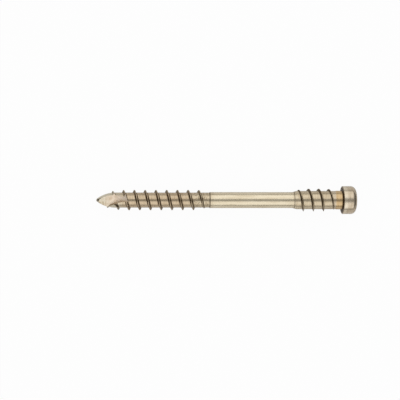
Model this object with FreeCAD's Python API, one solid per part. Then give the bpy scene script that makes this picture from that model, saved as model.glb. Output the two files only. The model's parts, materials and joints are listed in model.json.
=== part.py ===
import FreeCAD, Part
import math
import os

# Deck screw, one solid, in millimetres and degrees.
# It is modelled along +X with the point's end at x = 0, then laid down on the plane z = 0.

# Overall length, and what the head measures
LENGTH = 63.5
HEAD_DIAMETER = 6.85
HEAD_HEIGHT = 3.3
HEAD_CORNER_RADIUS = 1.2
HEAD_EDGE_BEVEL = 0.12

# Neck and upper thread, measured back from the head's underside
NECK_DIAMETER = 4.58
NECK_LENGTH = 1.6
NECK_ROOT_BEVEL = 0.12
UPPER_THREAD_LENGTH = 9.7
UPPER_CORE_DIAMETER = 4.48
UPPER_THREAD_DIAMETER = 5.58
UPPER_PITCH = 2.5
UPPER_CREST_OFFSET = 0.49
UPPER_FADE_IN = 1.35
UPPER_FADE_OUT = 2.6
STEP_LENGTH = 1.0

# Plain shank, and the small bevel where the rolled core meets it
SHANK_DIAMETER = 3.9
ROLL_BEVEL = 0.12

# Lower thread, measured from the point's end
LOWER_THREAD_LENGTH = 27.5
LOWER_CORE_DIAMETER = 3.68
LOWER_THREAD_DIAMETER = 4.95
LOWER_PITCH = 2.613
LOWER_CREST_OFFSET = 4.02
LOWER_START = 1.44
LOWER_END_GAP = 0.87
LOWER_FADE_IN = 6.4
LOWER_FADE_OUT = 2.1

# Section of the ridges: a sharp crest between two flanks
LOWER_FRONT_FLANK = 28.0
LOWER_BACK_FLANK = 23.0
UPPER_FRONT_FLANK = 40.0
UPPER_BACK_FLANK = 17.0

# Rounded point
POINT_LENGTH = 4.6
NOSE_RADIUS = 0.45

# Cutting flute: a floor that rises to its run-out, and a curved wall along one side of it
FLUTE_END = 7.6
FLUTE_FLOOR_HEIGHT = 0.62
FLUTE_FLOOR_SLOPE = 4.0
FLUTE_FLOOR_TILT = 20.0
FLUTE_RUNOUT_RADIUS = 4.5
FLUTE_WALL_RADIUS = 9.5
FLUTE_WALL_X = 8.5
FLUTE_WALL_SIDE = 0.46

# Six-lobe recess, its cone at the bottom and its bevelled mouth
RECESS_OUTER_DIAMETER = 3.94
RECESS_INNER_DIAMETER = 2.85
RECESS_LOBE_RADIUS = 0.305
RECESS_DEPTH = 2.1
RECESS_CONE_ANGLE = 120.0
RECESS_BEVEL = 0.1
LOBES = 6

# How finely the ridges and the arcs of the point and the head are drawn, and how deep the ridges' foot lies
STEPS_PER_TURN = 16
ARC_STRETCHES = 6
BURIED_DEPTH = 0.2

# Radii and places that follow from the dimensions above
HEAD_RADIUS = HEAD_DIAMETER / 2
NECK_RADIUS = NECK_DIAMETER / 2
UPPER_CORE_RADIUS = UPPER_CORE_DIAMETER / 2
SHANK_RADIUS = SHANK_DIAMETER / 2
LOWER_CORE_RADIUS = LOWER_CORE_DIAMETER / 2
UNDERSIDE_X = LENGTH - HEAD_HEIGHT
NECK_X = UNDERSIDE_X - NECK_LENGTH
UPPER_X = NECK_X - UPPER_THREAD_LENGTH
STEP_X = UPPER_X - STEP_LENGTH
LOWER_END_X = LOWER_THREAD_LENGTH - LOWER_END_GAP
UPPER_CREST_X = UPPER_X + UPPER_CREST_OFFSET

# The point's outline is an arc that leaves the core smoothly and meets the round nose smoothly
OGIVE_RADIUS = ((POINT_LENGTH - NOSE_RADIUS) ** 2 + LOWER_CORE_RADIUS**2 - NOSE_RADIUS**2) / (
    2 * (LOWER_CORE_RADIUS - NOSE_RADIUS)
)


def ogive(x):
    """Radius of the rounded point at x, on its long arc."""
    back = POINT_LENGTH - x
    return LOWER_CORE_RADIUS - OGIVE_RADIUS + math.sqrt(OGIVE_RADIUS**2 - back**2)


def lower_core(x):
    """Radius of the core under the lower thread at x."""
    return ogive(x) if x < POINT_LENGTH else LOWER_CORE_RADIUS


def upper_core(x):
    """Radius of the core under the upper thread, which is plain."""
    return UPPER_CORE_RADIUS


def flat(x, radius):
    """A point of the outline, in the XY plane."""
    return FreeCAD.Vector(x, radius, 0)


def line(start, end):
    return Part.LineSegment(start, end).toShape()


def arc(start, middle, end):
    return Part.Arc(start, middle, end).toShape()


def stretches(start, end, centre, count):
    """Even straight stretches, from start to end, that stand for the arc about the centre."""
    radius = (end - centre).Length
    first = math.atan2(start.y - centre.y, start.x - centre.x)
    last = math.atan2(end.y - centre.y, end.x - centre.x)
    points = [start]
    for index in range(1, count):
        angle = first + (last - first) * index / count
        points.append(flat(centre.x + radius * math.cos(angle), centre.y + radius * math.sin(angle)))
    points.append(end)
    return [line(here, there) for here, there in zip(points, points[1:])]


def blank():
    """The turned form without ridges, notch or recess, by revolving its outline about X."""
    # The nose circle and the long arc touch on the line through both centres
    ogive_centre = flat(POINT_LENGTH, LOWER_CORE_RADIUS - OGIVE_RADIUS)
    nose_centre = flat(NOSE_RADIUS, 0)
    towards_nose = (nose_centre - ogive_centre).normalize()
    nose_end = ogive_centre + towards_nose * OGIVE_RADIUS
    half_turn = math.atan2(nose_end.y, NOSE_RADIUS - nose_end.x) / 2
    nose_middle = nose_centre + FreeCAD.Vector(-math.cos(half_turn), math.sin(half_turn), 0) * NOSE_RADIUS

    corner_centre = flat(LENGTH - HEAD_CORNER_RADIUS, HEAD_RADIUS - HEAD_CORNER_RADIUS)

    front = flat(0, 0)
    point_end = flat(POINT_LENGTH, LOWER_CORE_RADIUS)
    core_end = flat(LOWER_THREAD_LENGTH, LOWER_CORE_RADIUS)
    shank_start = flat(LOWER_THREAD_LENGTH + ROLL_BEVEL, SHANK_RADIUS)
    shank_end = flat(STEP_X, SHANK_RADIUS)
    upper_start = flat(UPPER_X, UPPER_CORE_RADIUS)
    upper_end = flat(NECK_X, UPPER_CORE_RADIUS)
    neck_start = flat(NECK_X + ROLL_BEVEL, NECK_RADIUS)
    neck_end = flat(UNDERSIDE_X - NECK_ROOT_BEVEL, NECK_RADIUS)
    underside_start = flat(UNDERSIDE_X, NECK_RADIUS + NECK_ROOT_BEVEL)
    underside_end = flat(UNDERSIDE_X, HEAD_RADIUS - HEAD_EDGE_BEVEL)
    side_start = flat(UNDERSIDE_X + HEAD_EDGE_BEVEL, HEAD_RADIUS)
    side_end = flat(corner_centre.x, HEAD_RADIUS)
    top_start = flat(LENGTH, corner_centre.y)
    back = flat(LENGTH, 0)

    outline = Part.Wire(
        [
            arc(front, nose_middle, nose_end),
            *stretches(nose_end, point_end, ogive_centre, ARC_STRETCHES),
            line(point_end, core_end),
            line(core_end, shank_start),
            line(shank_start, shank_end),
            line(shank_end, upper_start),
            line(upper_start, upper_end),
            line(upper_end, neck_start),
            line(neck_start, neck_end),
            line(neck_end, underside_start),
            line(underside_start, underside_end),
            line(underside_end, side_start),
            line(side_start, side_end),
            *stretches(side_end, top_start, corner_centre, ARC_STRETCHES),
            line(top_start, back),
            line(back, front),
        ]
    )
    return Part.Face(outline).revolve(FreeCAD.Vector(), FreeCAD.Vector(1, 0, 0), 360)


def ridge_height(x, start, end, fade_in, fade_out):
    """Share of the full height at x: it grows from the start, and runs out towards the end."""
    room = min((x - start) / fade_in, (end - x) / fade_out, 1)
    return 1 - (1 - room) ** 2


def ridge(pitch, crest_x, start, end, fade_in, fade_out, core, crest_radius, front_flank, back_flank):
    """A right-hand helical ridge as a solid, with its foot buried in the core.

    Its crest points to +Y at crest_x, and to +Z a quarter of a pitch further on.
    """
    turns = (end - start) / pitch
    count = math.ceil(turns * STEPS_PER_TURN)
    front_slope = math.tan(math.radians(front_flank))
    back_slope = math.tan(math.radians(back_flank))
    tracks = [[], [], []]
    angles = []
    for step in range(count + 1):
        x = start + (end - start) * step / count
        angle = 2 * math.pi * (x - crest_x) / pitch
        shallow = core(x) - BURIED_DEPTH / 2
        crest = shallow + (crest_radius - shallow) * ridge_height(x, start, end, fade_in, fade_out)
        rise = crest - core(x) + BURIED_DEPTH
        front_foot = x - rise * front_slope
        back_foot = x + rise * back_slope
        section = [
            (front_foot, core(front_foot) - BURIED_DEPTH),
            (x, crest),
            (back_foot, core(back_foot) - BURIED_DEPTH),
        ]
        angles.append(angle)
        for track, (along, radius) in zip(tracks, section):
            track.append(FreeCAD.Vector(along, radius * math.cos(angle), radius * math.sin(angle)))

    curves = []
    for track in tracks:
        curve = Part.BSplineCurve()
        curve.interpolate(Points=track, Parameters=angles)
        curves.append(curve)

    # Each side is split at every turn, because shorter faces fuse safely with the core
    cuts = list(range(0, count - STEPS_PER_TURN // 2, STEPS_PER_TURN)) + [count]
    same_way = 1
    faces = []
    for first, last in zip(cuts, cuts[1:]):
        edges = [curve.toShape(angles[first], angles[last]) for curve in curves]
        for edge, following in zip(edges, edges[1:] + edges[:1]):
            faces.append(Part.makeRuledSurface(edge, following, same_way))
    for end_index in (0, -1):
        corners = [track[end_index] for track in tracks]
        faces.append(Part.Face(Part.makePolygon(corners + corners[:1])))
    shell = Part.makeShell(faces)
    shell.sewShape()
    solid = Part.makeSolid(shell)
    if solid.Volume < 0:
        solid.reverse()
    return solid


def lower_thread():
    return ridge(
        LOWER_PITCH,
        LOWER_CREST_OFFSET,
        LOWER_START,
        LOWER_END_X,
        LOWER_FADE_IN,
        LOWER_FADE_OUT,
        lower_core,
        LOWER_THREAD_DIAMETER / 2,
        LOWER_FRONT_FLANK,
        LOWER_BACK_FLANK,
    )


def upper_thread():
    return ridge(
        UPPER_PITCH,
        UPPER_CREST_X,
        UPPER_X,
        NECK_X,
        UPPER_FADE_IN,
        UPPER_FADE_OUT,
        upper_core,
        UPPER_THREAD_DIAMETER / 2,
        UPPER_FRONT_FLANK,
        UPPER_BACK_FLANK,
    )


def flute():
    """The notch's tool: all that lies over its floor, as far as its wall."""
    tilt = math.radians(FLUTE_FLOOR_TILT)
    along = FreeCAD.Vector(1, 0, 0)
    across = FreeCAD.Vector(0, math.cos(tilt), math.sin(tilt))
    upward = along.cross(across)
    reach = LOWER_THREAD_DIAMETER

    # The floor is a slope, then an arc that starts smoothly and leaves the core at the flute's end
    slope = math.radians(FLUTE_FLOOR_SLOPE)
    uphill = along * math.cos(slope) + upward * math.sin(slope)
    off_floor = upward * math.cos(slope) - along * math.sin(slope)
    floor_start = upward * FLUTE_FLOOR_HEIGHT
    exit_point = along * FLUTE_END + upward * LOWER_CORE_RADIUS - floor_start
    exit_height = exit_point.dot(off_floor)
    arc_length = math.sqrt(2 * FLUTE_RUNOUT_RADIUS * exit_height - exit_height**2)
    arc_start = floor_start + uphill * (exit_point.dot(uphill) - arc_length)
    arc_centre = arc_start + off_floor * FLUTE_RUNOUT_RADIUS

    def on_arc(degrees):
        turn = math.radians(degrees)
        return arc_centre + (uphill * math.sin(turn) - off_floor * math.cos(turn)) * FLUTE_RUNOUT_RADIUS

    front = floor_start - uphill * POINT_LENGTH
    arc_end = on_arc(80)
    profile = Part.Wire(
        [
            line(front, arc_start),
            arc(arc_start, on_arc(40), arc_end),
            line(arc_end, arc_end + upward * reach),
            line(arc_end + upward * reach, front + upward * 2 * reach),
            line(front + upward * 2 * reach, front),
        ]
    )
    profile.translate(across * -reach)
    room = Part.Face(profile).extrude(across * 2 * reach)

    wall_foot = along * FLUTE_WALL_X + across * (FLUTE_WALL_SIDE - FLUTE_WALL_RADIUS) - upward * reach
    wall = Part.makeCylinder(FLUTE_WALL_RADIUS, 4 * reach, wall_foot, upward)
    return room.cut(wall)


def lobe_outline(x):
    """The six-lobe outline at x: round lobes joined smoothly by hollow arcs."""
    outer = RECESS_OUTER_DIAMETER / 2
    inner = RECESS_INNER_DIAMETER / 2
    lobe = RECESS_LOBE_RADIUS
    lobe_centre = outer - lobe
    half_step = math.pi / LOBES
    # The hollow arc's radius follows from touching both lobes and the inner circle
    reach = 2 * lobe_centre * math.cos(half_step)
    hollow = (lobe**2 - lobe_centre**2 - inner**2 + reach * inner) / (2 * inner - reach - 2 * lobe)
    hollow_centre = inner + hollow

    def polar(radius, angle):
        return FreeCAD.Vector(x, radius * math.cos(angle), radius * math.sin(angle))

    edges = []
    for index in range(LOBES):
        here = index * 2 * half_step
        lobe_middle = polar(lobe_centre, here)
        before = polar(hollow_centre, here - half_step)
        after = polar(hollow_centre, here + half_step)
        following = polar(lobe_centre, here + 2 * half_step)
        first = lobe_middle + (before - lobe_middle).normalize() * lobe
        last = lobe_middle + (after - lobe_middle).normalize() * lobe
        next_first = following + (after - following).normalize() * lobe
        edges.append(arc(first, polar(outer, here), last))
        edges.append(arc(last, polar(inner, here + half_step), next_first))
    return Part.Wire(edges)


def recess():
    """The driver's recess, cut from the head's top: lobed walls, a cone below and a bevelled mouth."""
    floor_x = LENGTH - RECESS_DEPTH
    walls = Part.Face(lobe_outline(floor_x)).extrude(FreeCAD.Vector(RECESS_DEPTH + HEAD_HEIGHT, 0, 0))
    cone_radius = RECESS_INNER_DIAMETER / 2
    cone_depth = cone_radius / math.tan(math.radians(RECESS_CONE_ANGLE / 2))
    axis = FreeCAD.Vector(1, 0, 0)
    cone = Part.makeCone(0, cone_radius, cone_depth, FreeCAD.Vector(floor_x - cone_depth, 0, 0), axis)
    mouth_radius = RECESS_OUTER_DIAMETER / 2 + RECESS_BEVEL
    mouth_depth = mouth_radius - cone_radius
    mouth = Part.makeCone(
        cone_radius, mouth_radius, mouth_depth, FreeCAD.Vector(LENGTH - mouth_depth, 0, 0), axis
    )
    return walls.fuse(cone).fuse(mouth)


def resting_tilt():
    """Angle in degrees at which the head's rim and the foremost full crest lie on one plane."""
    slopes = []
    lowest_x = LOWER_CREST_OFFSET + 0.75 * LOWER_PITCH
    while lowest_x < LOWER_END_X - LOWER_FADE_OUT:
        share = ridge_height(lowest_x, LOWER_START, LOWER_END_X, LOWER_FADE_IN, LOWER_FADE_OUT)
        radius = lower_core(lowest_x) + (LOWER_THREAD_DIAMETER / 2 - lower_core(lowest_x)) * share
        slopes.append((HEAD_RADIUS - radius) / (UNDERSIDE_X - lowest_x))
        lowest_x += LOWER_PITCH
    return math.degrees(math.atan(min(slopes)))


def laid_down(shape):
    """The screw lying on the plane z = 0, with the origin under the middle of its box."""
    turned = shape.copy()
    turned.rotate(FreeCAD.Vector(), FreeCAD.Vector(0, 1, 0), -resting_tilt())
    box = turned.optimalBoundingBox(True, False)
    turned.translate(FreeCAD.Vector(-box.Center.x, -box.Center.y, -box.ZMin))
    return turned


def deck_screw():
    threaded = blank().fuse([lower_thread(), upper_thread()])
    return laid_down(threaded.cut([flute(), recess()]))


os.makedirs("parts", exist_ok=True)
screw = deck_screw()
screw.exportStep("parts/deck_screw.step")
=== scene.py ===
import json
import logging
import math
from collections.abc import Callable
from dataclasses import dataclass, field
from enum import Enum

import bpy
import numpy as np
from mathutils import Matrix, Vector


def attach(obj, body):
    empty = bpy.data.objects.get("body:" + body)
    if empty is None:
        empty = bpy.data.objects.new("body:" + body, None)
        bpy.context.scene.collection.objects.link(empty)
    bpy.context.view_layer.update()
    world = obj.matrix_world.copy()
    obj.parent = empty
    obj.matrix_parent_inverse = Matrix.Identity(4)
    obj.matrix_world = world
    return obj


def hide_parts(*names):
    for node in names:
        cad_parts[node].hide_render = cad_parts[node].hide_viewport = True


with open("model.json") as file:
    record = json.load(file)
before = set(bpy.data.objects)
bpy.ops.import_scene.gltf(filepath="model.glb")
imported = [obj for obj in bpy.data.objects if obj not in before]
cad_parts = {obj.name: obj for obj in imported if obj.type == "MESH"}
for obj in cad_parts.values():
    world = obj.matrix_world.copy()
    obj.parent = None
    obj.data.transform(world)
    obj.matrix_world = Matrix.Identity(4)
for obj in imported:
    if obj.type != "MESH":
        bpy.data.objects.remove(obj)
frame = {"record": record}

# A deck screw on a pale studio floor, in metres in Blender and in millimetres on the screw's own axis.

LOG = logging.getLogger("deck_screw")
MM = 0.001
COLUMNS = 96
FULL_TURN = 2 * math.pi
COLUMN_ANGLES = FULL_TURN * np.arange(COLUMNS) / COLUMNS

Array = np.ndarray
Profile = Callable[[Array], Array]
Socket = bpy.types.NodeSocket
Value = Socket | float
Span = tuple[float, float]
Triple = tuple[float, float, float]
Colour = Triple
Inputs = dict[str | int, Value | Triple]


class Finish(Enum):
    """Which surface of the screw a face belongs to, as its material's index."""

    PLATED = 0
    CUT = 1
    SHEARED = 2


@dataclass(frozen=True)
class Axis:
    """The screw's own axis in the scene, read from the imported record's mounts.

    Attributes:
        length: Overall length in millimetres, from the point's end to the head's top.
    """

    length: float = 63.5

    def mount(self, key: str) -> Array:
        """A vector of the mount at the middle of the head's top."""
        mounts = frame["record"]["mounts"]
        return np.array(next(m for m in mounts if m["name"] == "drive_recess")[key], dtype=float)

    def direction(self) -> Array:
        """Unit vector from the point's end to the head."""
        along = self.mount("axis")
        return along / np.linalg.norm(along)

    def tilt(self) -> float:
        """Angle in radians by which the axis rises towards the head."""
        along = self.direction()
        return math.atan2(along[2], along[0])

    def to_scene(self, points: Array) -> Array:
        """Place points of the screw's own axes in the scene.

        The head's top centre and the axis come from the mount; a point moves back along the axis by what
        its own x lacks of the length.

        Args:
            points: Rows of x along the axis, y and z, in millimetres.

        Returns:
            The same rows in metres in the scene.
        """
        along = self.direction()
        across = np.array((0.0, 1.0, 0.0))
        upward = np.cross(along, across)
        own = (points - (self.length, 0.0, 0.0)) * MM
        return self.mount("pos_m") + own @ np.stack([along, across, upward])


def add_object(name: str, data: bpy.types.ID) -> bpy.types.Object:
    """Make an object and link it to the scene.

    Args:
        name: Its name.
        data: The mesh, lamp or camera that it shows.

    Returns:
        The object.
    """
    piece = bpy.data.objects.new(name, data)
    bpy.context.scene.collection.objects.link(piece)
    return piece


def mesh_object(name: str, points: Array, faces: Array) -> bpy.types.Object:
    """Make an object from arrays of points and faces.

    Args:
        name: Name of the object and its mesh.
        points: Vertex rows.
        faces: Rows of vertex numbers, three or four to a face.

    Returns:
        The object, linked to the scene.
    """
    mesh = bpy.data.meshes.new(name)
    mesh.from_pydata(points.tolist(), [], faces.tolist())
    mesh.validate()
    mesh.update()
    return add_object(name, mesh)


def stand(piece: bpy.types.Object, place: Vector, right: Vector, back: Vector) -> None:
    """Put a lamp or camera at a place, looking away from its back, with its own X to the right.

    Args:
        piece: The object.
        place: Where it stands.
        right: Unit vector of its own X.
        back: Unit vector of its own Z.
    """
    turn = Matrix((right, back.cross(right), back)).transposed().to_4x4()
    piece.matrix_world = Matrix.Translation(place) @ turn


@dataclass
class Shell:
    """A growing mesh of rings and strips, kept as arrays until it goes to Blender.

    Attributes:
        points: Blocks of vertex rows.
        shades: Blocks of painted-shade shares, one for each vertex, which go to the flank attribute.
        faces: Blocks of triangles.
        total: How many vertices there are so far.
    """

    points: list[Array] = field(default_factory=list)
    shades: list[Array] = field(default_factory=list)
    faces: list[Array] = field(default_factory=list)
    total: int = 0

    def add_points(self, x: Array, radius: Array, angle: Array, shade: Array) -> Array:
        """Add vertices given by x, radius and angle round the axis.

        Args:
            x: Place along the axis.
            radius: Distance from the axis.
            angle: Angle from +Y towards +Z, in radians.
            shade: How much painted shade the vertex gets, from 0 to 1.

        Returns:
            The vertices' numbers, in the shape of the arguments.
        """
        x, radius, angle, shade = np.broadcast_arrays(x, radius, angle, shade)
        rows = np.stack([x, radius * np.cos(angle), radius * np.sin(angle)], axis=-1).reshape(-1, 3)
        numbers = np.arange(self.total, self.total + len(rows)).reshape(x.shape)
        self.points.append(rows)
        self.shades.append(shade.reshape(-1))
        self.total += len(rows)
        return numbers

    def add_grid(self, grid: Array) -> None:
        """Add two triangles for each cell of a grid of vertex numbers, and none where a cell has collapsed.

        Rows follow the axis towards the head and columns go round from +Y to +Z.

        Args:
            grid: Vertex numbers, rows by columns.
        """
        a, b = grid[:-1, :-1].ravel(), grid[1:, :-1].ravel()
        c, d = grid[1:, 1:].ravel(), grid[:-1, 1:].ravel()
        triangles = np.concatenate([np.stack([a, c, b], axis=1), np.stack([a, d, c], axis=1)])
        real = (
            (triangles[:, 0] != triangles[:, 1])
            & (triangles[:, 1] != triangles[:, 2])
            & (triangles[:, 2] != triangles[:, 0])
        )
        self.faces.append(triangles[real])

    def add_rings(self, rings: Array) -> None:
        """Join closed rings of vertex numbers, one row each, in order along the outline."""
        self.add_grid(np.concatenate([rings, rings[:, :1]], axis=1))

    def add_cap(self, ring: Array, x: float, towards_head: bool) -> None:
        """Close a ring with a fan to one vertex on the axis.

        Args:
            ring: The ring's vertex numbers.
            x: Where the vertex is on the axis.
            towards_head: Whether the outline goes on from the ring to the vertex, or comes from it.
        """
        pole = self.add_points(np.array([x]), np.zeros(1), np.zeros(1), np.zeros(1))[0]
        poles = np.full(len(ring), pole)
        self.add_rings(np.stack([ring, poles] if towards_head else [poles, ring]))


# Stations of one side of a ridge: shares of its hollow's arc and of its flank, and how much painted shade
# each gets
HOLLOW_SHARES = np.linspace(0.0, 1.0, 5)[:, None]
FLANK_SHARES = np.array([0.4, 0.82, 1.0])[:, None]
FRONT_SHADE = np.array([0.1, 0.3, 0.6, 0.85, 1.0, 1.0, 1.0])[:, None]
BACK_SHADE = np.array([1.0, 1.0, 1.0, 1.0, 1.0, 1.0, 1.0, 0.8])[:, None]
# Stations of the plain core in front of a ridge and behind its painted shadow line, as shares of each stretch
FRONT_PLAIN = np.linspace(0.0, 1.0, 7)[:-1, None]
BACK_PLAIN = np.linspace(0.0, 1.0, 5)[:, None]


@dataclass(frozen=True)
class Thread:
    """One rolled thread: a ridge along a right-hand helix, in millimetres and degrees.

    Attributes:
        pitch: Advance in one turn.
        crest_x: A place where the crest points to +Y.
        start: Where the ridge starts to grow.
        end: Where the ridge has run out.
        fade_in: Length over which it grows.
        fade_out: Length over which it runs out.
        crest_radius: Radius of its full crest.
        front_flank: Angle of the flank that faces the point, from the radius.
        back_flank: Angle of the flank that faces the head.
        first_seam: How far behind the crest the next turn begins, at the start.
        last_seam: The same at the end.
        crest_width: Width of the crest's flat.
        front_shade: How much painted shade the flank that faces the point gets, from 0 to 1.
        back_shade: The same for the flank that faces the head.
        crest_shade: The same for the crest.
        shadow_width: Width of the painted shadow line on the core behind the ridge.
        shadow_fade: How much of its width that painted shadow fades out over.
        shadow_room: How much of the plain stretch behind the ridge it may take.
        root_radius: Radius of the hollow where a flank meets the core.
        root_share: How much of the height that hollow may take where the ridge is low.
        sunk: How far below the core the ridge starts and ends.
        full_shade_height: Height from which the flanks get their full painted shade.
    """

    pitch: float
    crest_x: float
    start: float
    end: float
    fade_in: float
    fade_out: float
    crest_radius: float
    front_flank: float
    back_flank: float
    first_seam: float
    last_seam: float
    crest_width: float
    front_shade: float
    back_shade: float
    crest_shade: float
    shadow_width: float
    shadow_fade: float = 0.4
    shadow_room: float = 0.5
    root_radius: float = 0.14
    root_share: float = 0.6
    sunk: float = 0.1
    full_shade_height: float = 0.2

    def crest_place(self, turn: Array) -> Array:
        """Where the crest is after that many radians: the pitch times the turns, from crest_x."""
        return self.crest_x + self.pitch * turn / FULL_TURN

    def seam(self, turn: Array) -> Array:
        """How far behind the crest the next turn begins, straight from its first to its last value."""
        share = (self.crest_place(turn) - self.start) / (self.end - self.start)
        return self.first_seam + (self.last_seam - self.first_seam) * share

    def height(self, turn: Array, core: Profile) -> Array:
        """Height of the crest over the core.

        It grows as one minus the square of what is still missing of the fade, from a little under the core.

        Args:
            turn: Radians round the axis.
            core: Gives the core's radius at x.

        Returns:
            The height for each turn, never below zero.
        """
        x = self.crest_place(turn)
        room = np.minimum(np.minimum((x - self.start) / self.fade_in, (self.end - x) / self.fade_out), 1.0)
        room = np.maximum(room, 0.0)
        share = 1 - (1 - room) ** 2
        base = core(x) - self.sunk
        return np.maximum(base + (self.crest_radius - base) * share - core(x), 0.0)

    def flank_stations(self, height: Array, flank: float) -> tuple[Array, Array]:
        """One side of the ridge's section, from its hollow to the crest's edge.

        The hollow is an arc that touches the core and the flank. It is smaller where the ridge is low.

        Args:
            height: Height of the crest, one for each column.
            flank: Angle of this flank in degrees.

        Returns:
            Distances from the crest's middle and heights over the core, stations by columns.
        """
        angle = math.radians(flank)
        sweep = math.pi / 2 - angle
        touch = math.tan(sweep / 2)
        radius = np.minimum(self.root_radius, self.root_share * height / (touch * math.cos(angle)))
        hollow_start = self.crest_width / 2 + height * math.tan(angle) + radius * touch
        steps = sweep * HOLLOW_SHARES
        away = hollow_start - radius * np.sin(steps)
        up = radius * (1 - np.cos(steps))
        flank_away = away[-1] + (self.crest_width / 2 - away[-1]) * FLANK_SHARES
        flank_up = up[-1] + (height - up[-1]) * FLANK_SHARES
        return np.vstack([away, flank_away]), np.vstack([up, flank_up])

    def section(self, turn: Array, core: Profile) -> tuple[Array, Array, Array]:
        """The strip's section at each turn, from the seam in front of the crest to the seam behind it.

        Args:
            turn: Radians round the axis, one for each column.
            core: Gives the core's radius at x.

        Returns:
            Places along the axis, heights over the core and painted-shade shares, stations by columns.
        """
        height = self.height(turn, core)
        front_away, front_up = self.flank_stations(height, self.front_flank)
        back_away, back_up = self.flank_stations(height, self.back_flank)
        front_seam = self.seam(turn - FULL_TURN) - self.pitch
        back_seam = self.seam(turn)
        front_plain = front_seam + (-front_away[0] - front_seam) * FRONT_PLAIN
        # A painted shadow line on the core right behind the ridge
        shadow = np.minimum(self.shadow_width, self.shadow_room * (back_seam - back_away[0]))
        shadow_end = back_away[0] + shadow
        fade_start = shadow_end - self.shadow_fade * shadow
        back_plain = shadow_end + (back_seam - shadow_end) * BACK_PLAIN
        offset = np.vstack([front_plain, -front_away, back_away[::-1], fade_start, back_plain])
        level = np.zeros_like(FRONT_PLAIN) * height
        up = np.vstack([level, front_up, back_up[::-1], level])
        # Painted shade on the flanks and crest, growing with the ridge's height
        share = np.minimum(height / self.full_shade_height, 1.0)
        front_side = FRONT_SHADE * self.front_shade * share
        back_side = BACK_SHADE * self.back_shade * share
        crest = self.crest_shade * share
        shade = np.vstack([level, front_side, crest, crest, back_side, level[1:]])
        return self.crest_place(turn) + offset, up, shade

    def lay(self, shell: Shell, core: Profile) -> tuple[Array, Array]:
        """Add the threaded stretch as one spiral strip, with a wedge at each end that turns it into a ring.

        Three sides of a wedge are edges of the strip, so those vertices' numbers are taken from it.

        Args:
            shell: The mesh that it is added to.
            core: Gives the core's radius at x.

        Returns:
            The ring at the point's side and the ring at the head's side, as vertex numbers by column.
        """
        first = math.floor(COLUMNS * (self.start - self.crest_x) / self.pitch)
        last = math.ceil(COLUMNS * (self.end - self.crest_x) / self.pitch)
        columns = np.arange(first, last + 1)
        turn = FULL_TURN * columns / COLUMNS
        x, up, shade = self.section(turn, core)
        steps = len(x) - 1
        count = len(columns)

        grid = np.empty((steps + 1, count), dtype=np.int64)
        grid[:-1] = shell.add_points(x[:-1], core(x[:-1]) + up[:-1], turn, shade[:-1])
        grid[-1, : count - COLUMNS] = grid[0, COLUMNS:]
        open_edge = slice(count - COLUMNS, count)
        grid[-1, open_edge] = shell.add_points(x[-1, open_edge], core(x[-1, open_edge]), turn[open_edge], 0.0)
        shell.add_grid(grid)

        low_x = x[0, 0] + (x[0, : COLUMNS + 1] - x[0, 0]) * ((x[:, :1] - x[0, 0]) / (x[-1, 0] - x[0, 0]))
        low = shell.add_points(low_x, core(low_x), turn[: COLUMNS + 1], 0.0)
        low[-1] = grid[0, : COLUMNS + 1]
        low[:, 0] = grid[0, 0]
        low[:, -1] = grid[:, 0]
        shell.add_grid(low)

        tail = slice(count - COLUMNS - 1, count)
        lower_edge = np.concatenate([x[:1, -1], x[-1, open_edge]])
        span = (x[:, -1:] - x[0, -1]) / (x[-1, -1] - x[0, -1])
        high_x = lower_edge + (x[-1, -1] - lower_edge) * span
        high = shell.add_points(high_x, core(high_x), turn[tail], 0.0)
        high[0] = np.concatenate([grid[:1, -1], grid[-1, open_edge]])
        high[:, 0] = grid[:, -1]
        high[:, -1] = grid[-1, -1]
        shell.add_grid(high)

        front = np.empty(COLUMNS, dtype=np.int64)
        front[columns[:COLUMNS] % COLUMNS] = low[0, :COLUMNS]
        back = np.empty(COLUMNS, dtype=np.int64)
        back[columns[tail][:COLUMNS] % COLUMNS] = high[-1, :COLUMNS]
        return front, back


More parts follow.
